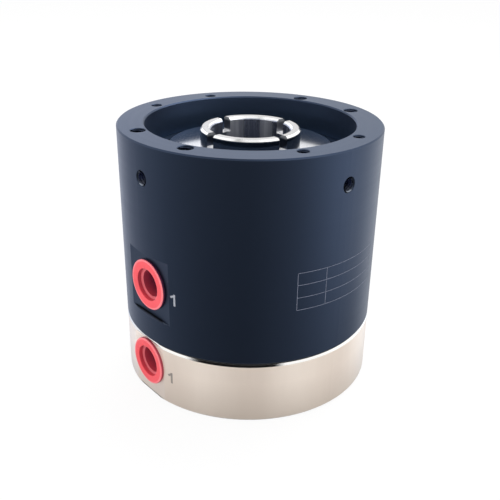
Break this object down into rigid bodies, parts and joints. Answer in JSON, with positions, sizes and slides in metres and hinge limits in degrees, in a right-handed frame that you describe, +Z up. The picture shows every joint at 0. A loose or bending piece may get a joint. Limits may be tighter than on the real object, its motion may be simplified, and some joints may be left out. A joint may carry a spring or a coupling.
{
  "type": "pneumatic slip ring",
  "caption": "Hollow-shaft pneumatic rotary union: a dark round housing turning on a bright flanged base, numbered side ports closed with red plugs, slotted shaft end in a top recess.",
  "frame": {"origin": "centre of the base's underside, on the turning axis", "axes": "+Z up along the turning axis, out of the slotted shaft end; -Y out of housing port 1"},
  "size_m": [0.1, 0.1012, 0.101],
  "materials": {
    "housing_anodised": "dark blue-black anodised, satin",
    "base_metal": "fine turned, satin, warm silver",
    "shaft_steel": "turned and polished, bright",
    "screw_steel": "black oxide",
    "bearing_steel": "ground, bright",
    "cage_plastic": "moulded polyamide",
    "shield_steel": "pressed sheet",
    "spring_steel": "phosphated, near black",
    "seal_rubber": "moulded nitrile rubber",
    "slide_ring_ptfe": "bronze-filled PTFE",
    "plug_plastic": "soft moulded polyethylene"
  },
  "bodies": {
    "base_and_shaft": {"base_flange": "base_metal", "through_shaft": "shaft_steel", "base_screws": "screw_steel", "locating_dowel": "bearing_steel", "passage_o_rings": "seal_rubber", "lower_bearing_inner_ring": "bearing_steel", "upper_bearing_inner_ring": "bearing_steel"},
    "housing_unit": {"housing": "housing_anodised", "retaining_ring": "spring_steel", "dust_seal": "seal_rubber", "lower_bearing_outer_ring": "bearing_steel", "lower_bearing_shields": "shield_steel", "upper_bearing_outer_ring": "bearing_steel", "upper_bearing_shields": "shield_steel", "lower_slide_ring": "slide_ring_ptfe", "lower_seal_o_ring": "seal_rubber", "middle_slide_ring": "slide_ring_ptfe", "middle_seal_o_ring": "seal_rubber", "upper_slide_ring": "slide_ring_ptfe", "upper_seal_o_ring": "seal_rubber"},
    "lower_ball_set": {"lower_bearing_cage": "cage_plastic", "lower_bearing_balls": "bearing_steel"},
    "upper_ball_set": {"upper_bearing_cage": "cage_plastic", "upper_bearing_balls": "bearing_steel"},
    "housing_plug_1": {"housing_port_plug_1": "plug_plastic"},
    "housing_plug_2": {"housing_port_plug_2": "plug_plastic"},
    "base_plug_1": {"base_port_plug_1": "plug_plastic"},
    "base_plug_2": {"base_port_plug_2": "plug_plastic"}
  },
  "joints": [
    {"name": "housing_turn", "type": "hinge", "parent": "base_and_shaft", "child": "housing_unit", "pos_m": [0, 0, 0.0625], "axis": [0, 0, 1], "continuous": true},
    {"name": "lower_ball_set_turn", "type": "hinge", "parent": "base_and_shaft", "child": "lower_ball_set", "pos_m": [0, 0, 0.0316], "axis": [0, 0, 1], "continuous": true},
    {"name": "upper_ball_set_turn", "type": "hinge", "parent": "base_and_shaft", "child": "upper_ball_set", "pos_m": [0, 0, 0.081], "axis": [0, 0, 1], "continuous": true},
    {"name": "housing_plug_1_pull", "type": "slide", "parent": "housing_unit", "child": "housing_plug_1", "axis": [0, -1, 0], "range_m": [0, 0.025]},
    {"name": "housing_plug_2_pull", "type": "slide", "parent": "housing_unit", "child": "housing_plug_2", "axis": [0, 1, 0], "range_m": [0, 0.025]},
    {"name": "base_plug_1_pull", "type": "slide", "parent": "base_and_shaft", "child": "base_plug_1", "axis": [-0.0332, -0.9995, 0], "range_m": [0, 0.025]},
    {"name": "base_plug_2_pull", "type": "slide", "parent": "base_and_shaft", "child": "base_plug_2", "axis": [0.0332, 0.9995, 0], "range_m": [0, 0.025]}
  ],
  "couplings": [
    {"joint": "lower_ball_set_turn", "follows": "housing_turn", "ratio": 0.53985},
    {"joint": "upper_ball_set_turn", "follows": "housing_turn", "ratio": 0.53985}
  ]
}
